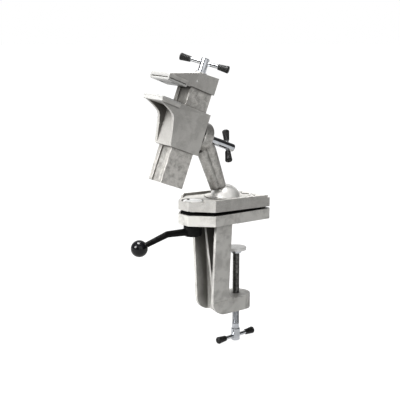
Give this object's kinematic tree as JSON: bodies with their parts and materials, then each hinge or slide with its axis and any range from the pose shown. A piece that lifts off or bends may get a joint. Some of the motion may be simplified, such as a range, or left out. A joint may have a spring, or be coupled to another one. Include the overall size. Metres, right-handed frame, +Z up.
{
  "type": "circuit board holding vise",
  "caption": "Bench vise for holding circuit boards: sliding jaws on a ball-jointed neck above a lever-locked base with a screw table clamp.",
  "frame": {"origin": "where the ball's vertical axis meets the underside of the lower plate, the face that lies on the table", "axes": "+Z up, +X from the lever end towards the open side of the clamp's throat, -Y towards the operator's side shown at rest"},
  "size_m": [0.2076, 0.0738, 0.4032],
  "materials": {
    "cast_grey": "fine speckled silver-grey casting, satin",
    "rough_cast": "rough mottled as-cast surface",
    "jaw_steel": "ground steel",
    "bright_steel": "polished and plated",
    "black_steel": "satin black",
    "knob_black": "glossy black",
    "cap_rubber": "satin black rubber",
    "nut_brass": "machined"
  },
  "bodies": {
    "base": {"clamp_frame": "cast_grey", "gap_seal": "cap_rubber", "top_plate": "cast_grey", "fulcrum_pin": "jaw_steel", "plate_screws": "jaw_steel", "lever_stud": "jaw_steel", "stud_pin": "jaw_steel"},
    "lever": {"clamp_lever": "black_steel", "lever_knob": "knob_black", "lever_washer": "black_steel"},
    "ball_seat": {"ball_seat": "jaw_steel"},
    "ball": {"swivel_ball": "bright_steel"},
    "neck": {"neck": "rough_cast"},
    "head": {"vise_body": "cast_grey", "lower_jaw_plate": "jaw_steel", "lower_jaw_screws": "black_steel", "spindle_nut": "nut_brass", "pivot_washer": "jaw_steel"},
    "lock_washer": {"lock_washer": "bright_steel"},
    "lock_screw": {"lock_screw": "bright_steel", "lock_tommy_bar": "bright_steel", "lock_bar_caps": "cap_rubber"},
    "slider": {"slide_bar": "rough_cast", "upper_jaw": "cast_grey", "upper_jaw_plate": "jaw_steel", "upper_jaw_screws": "black_steel", "jaw_pin": "jaw_steel"},
    "spindle": {"lead_spindle": "bright_steel", "spindle_washer": "bright_steel", "spindle_ring": "jaw_steel", "spindle_tommy_bar": "bright_steel", "spindle_bar_caps": "cap_rubber"},
    "clamp_pad": {"clamp_pad": "jaw_steel", "pad_ring": "jaw_steel"},
    "clamp_screw": {"clamp_screw": "bright_steel", "clamp_tommy_bar": "bright_steel", "clamp_bar_caps": "cap_rubber"}
  },
  "joints": [
    {"name": "lever_turn", "type": "hinge", "parent": "base", "child": "lever", "pos_m": [-0.0554, 0, 0], "axis": [0, 0, 1], "range_deg": [-100, 100]},
    {"name": "seat_swivel", "type": "hinge", "parent": "base", "child": "ball_seat", "pos_m": [0, 0, 0.0267], "axis": [0, 0, 1], "continuous": true},
    {"name": "ball_tilt", "type": "hinge", "parent": "ball_seat", "child": "ball", "pos_m": [0, 0, 0.0267], "axis": [0, 1, 0], "range_deg": [-8, 55]},
    {"name": "neck_spin", "type": "hinge", "parent": "ball", "child": "neck", "pos_m": [0, 0, 0.0267], "axis": [-0.4179, 0, 0.9085], "continuous": true},
    {"name": "head_turn", "type": "hinge", "parent": "neck", "child": "head", "pos_m": [-0.0714, 0, 0.1276], "axis": [0.9376, 0, -0.3478], "continuous": true},
    {"name": "lock_travel", "type": "slide", "parent": "head", "child": "lock_washer", "axis": [0.9376, 0, -0.3478], "range_m": [0, 0.0015]},
    {"name": "lock_spin", "type": "hinge", "parent": "lock_washer", "child": "lock_screw", "pos_m": [-0.01515, 0, 0.10673], "axis": [0.9376, 0, -0.3478], "range_deg": [-5, 365]},
    {"name": "jaw_travel", "type": "slide", "parent": "head", "child": "slider", "axis": [0.3475, -0.0407, 0.9368], "range_m": [-0.02, 0.035]},
    {"name": "spindle_spin", "type": "hinge", "parent": "slider", "child": "spindle", "pos_m": [-0.0422, -0.00325, 0.20202], "axis": [0.3475, -0.0407, 0.9368], "range_deg": [-4900, 8500]},
    {"name": "clamp_travel", "type": "slide", "parent": "base", "child": "clamp_pad", "axis": [0, 0, 1], "range_m": [-0.056, 0.031]},
    {"name": "clamp_spin", "type": "hinge", "parent": "clamp_pad", "child": "clamp_screw", "pos_m": [0.0205, 0, -0.1], "axis": [0, 0, 1], "range_deg": [-13500, 7500]}
  ],
  "couplings": [
    {"joint": "lock_spin", "follows": "lock_travel", "rad_per_m": 4188.8},
    {"joint": "spindle_spin", "follows": "jaw_travel", "rad_per_m": 4188.8},
    {"joint": "clamp_spin", "follows": "clamp_travel", "rad_per_m": 4188.8}
  ]
}
